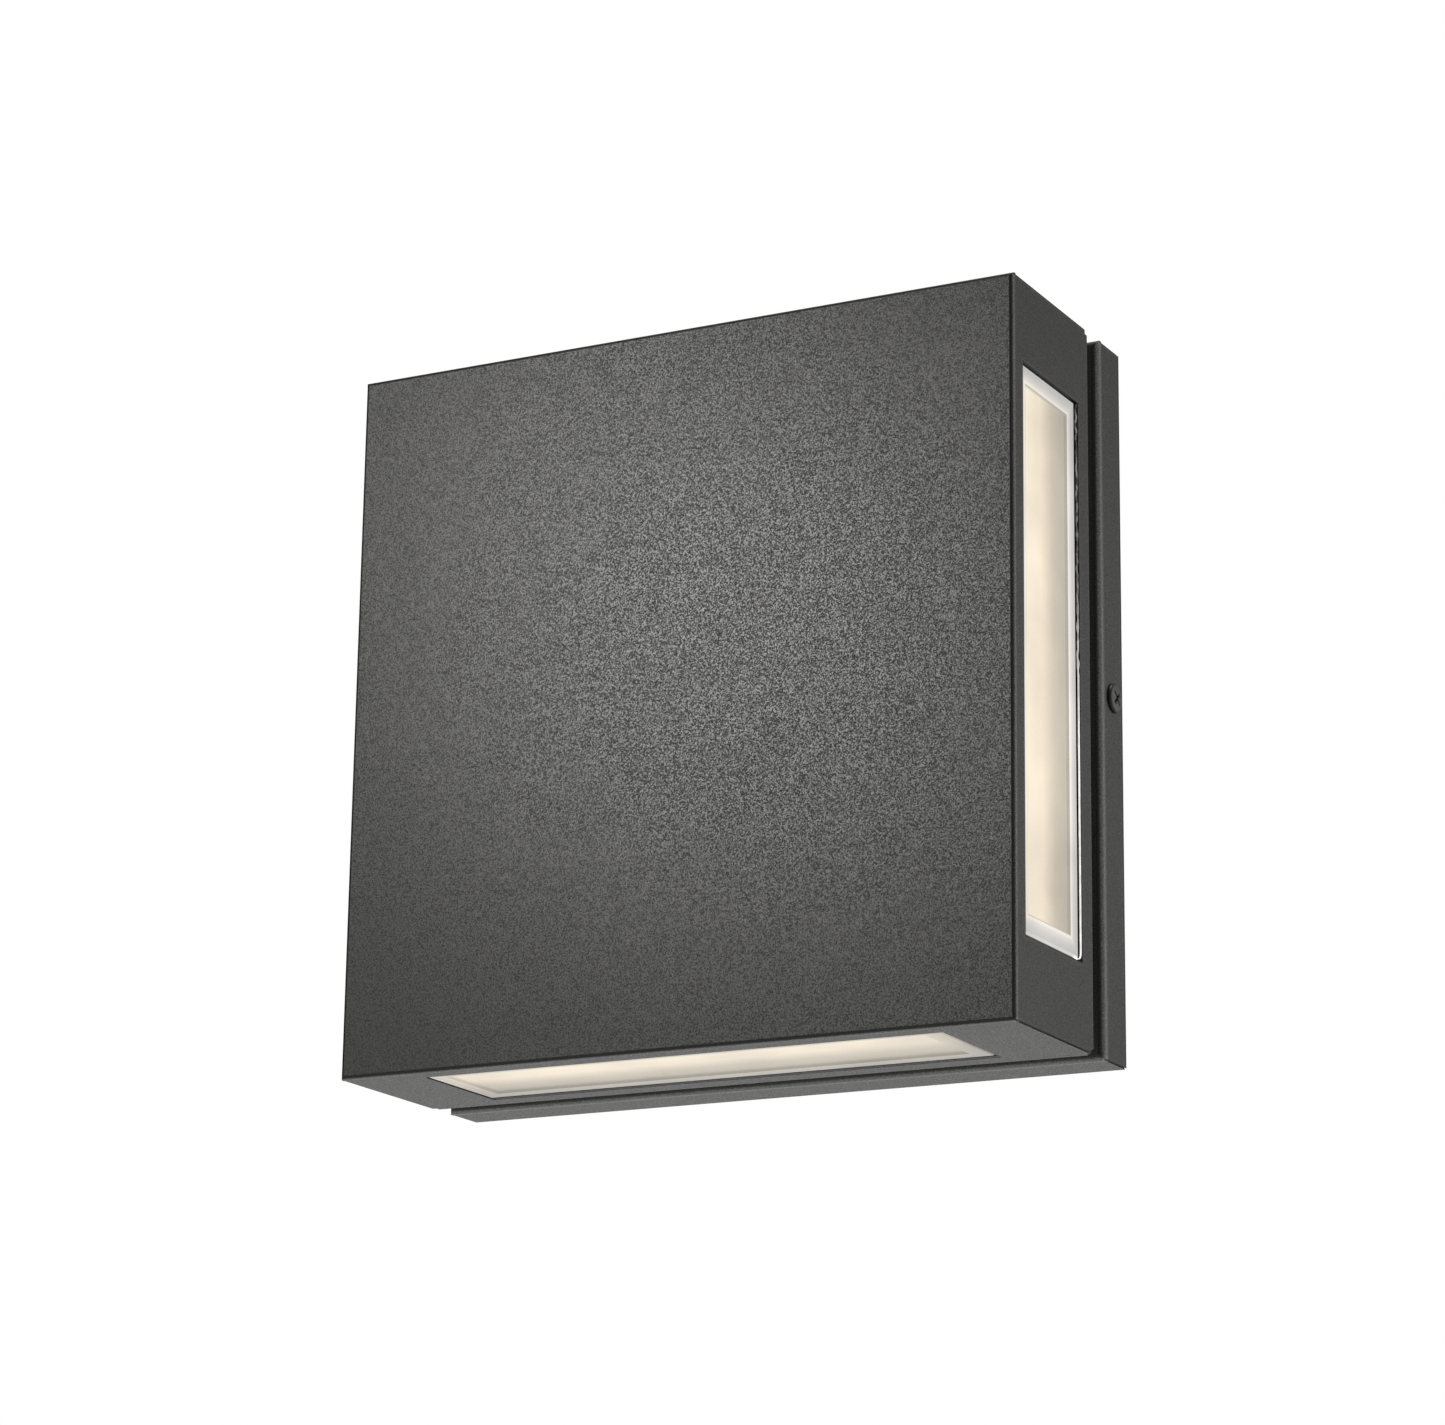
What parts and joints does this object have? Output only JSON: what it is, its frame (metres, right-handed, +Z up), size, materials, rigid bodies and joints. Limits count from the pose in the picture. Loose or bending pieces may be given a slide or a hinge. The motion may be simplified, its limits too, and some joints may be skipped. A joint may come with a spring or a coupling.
{
  "type": "outdoor wall lantern",
  "caption": "Square flush outdoor wall light with a lit frosted window in each edge, on a shallow wall pan and strap bracket.",
  "frame": {"origin": "centre of the wall plane, behind the middle of the light", "axes": "+Z is up, the front faces -Y, the wall is at y = 0 on the +Y side, and +X is the right side seen from the front"},
  "size_m": [0.2058, 0.0724, 0.203],
  "materials": {
    "black_powder_coat": "fine-textured black powder coat",
    "frosted_acrylic": "frosted, lit warm white from behind",
    "white_silicone": "cured clear-white sealant",
    "bare_aluminium": "mill finish",
    "zinc_plate": "zinc plated",
    "blackened_screw": "black oxide",
    "green_screw": "green passivated",
    "white_enamel": "matt white enamel",
    "driver_plastic": "moulded plastic",
    "white_board": "white solder mask",
    "phosphor": "yellow phosphor",
    "foam_rubber": "closed-cell foam",
    "black_rubber": "satin rubber"
  },
  "bodies": {
    "fixture": {"back_pan": "black_powder_coat", "corner_brackets": "zinc_plate", "driver_case": "driver_plastic", "driver_screws": "zinc_plate", "ground_screw": "green_screw", "housing_shell": "black_powder_coat", "led_chips_bottom": "phosphor", "led_chips_left": "phosphor", "led_chips_right": "phosphor", "led_chips_top": "phosphor", "led_strip_bottom": "white_board", "led_strip_left": "white_board", "led_strip_right": "white_board", "led_strip_top": "white_board", "neck_block": "black_powder_coat", "neck_bolts": "zinc_plate", "neck_gasket": "foam_rubber", "neck_nuts": "zinc_plate", "neck_washers": "zinc_plate", "pan_grommet": "black_rubber", "pane_seal_bottom": "white_silicone", "pane_seal_left": "white_silicone", "pane_seal_right": "white_silicone", "pane_seal_top": "white_silicone", "plate_grommet": "black_rubber", "plate_screws": "blackened_screw", "rear_gasket": "foam_rubber", "rear_plate": "bare_aluminium", "reflector": "white_enamel", "side_nuts": "zinc_plate", "strip_screws": "zinc_plate", "wall_gasket": "foam_rubber", "wall_strap": "zinc_plate", "window_pane_bottom": "frosted_acrylic", "window_pane_left": "frosted_acrylic", "window_pane_right": "frosted_acrylic", "window_pane_top": "frosted_acrylic"},
    "side_screw_right": {"side_screw_right": "blackened_screw"},
    "side_screw_left": {"side_screw_left": "blackened_screw"}
  },
  "joints": [
    {"name": "side_screw_right_out", "type": "slide", "parent": "fixture", "child": "side_screw_right", "axis": [1, 0, 0], "range_m": [0, 0.01]},
    {"name": "side_screw_left_out", "type": "slide", "parent": "fixture", "child": "side_screw_left", "axis": [-1, 0, 0], "range_m": [0, 0.01]}
  ]
}
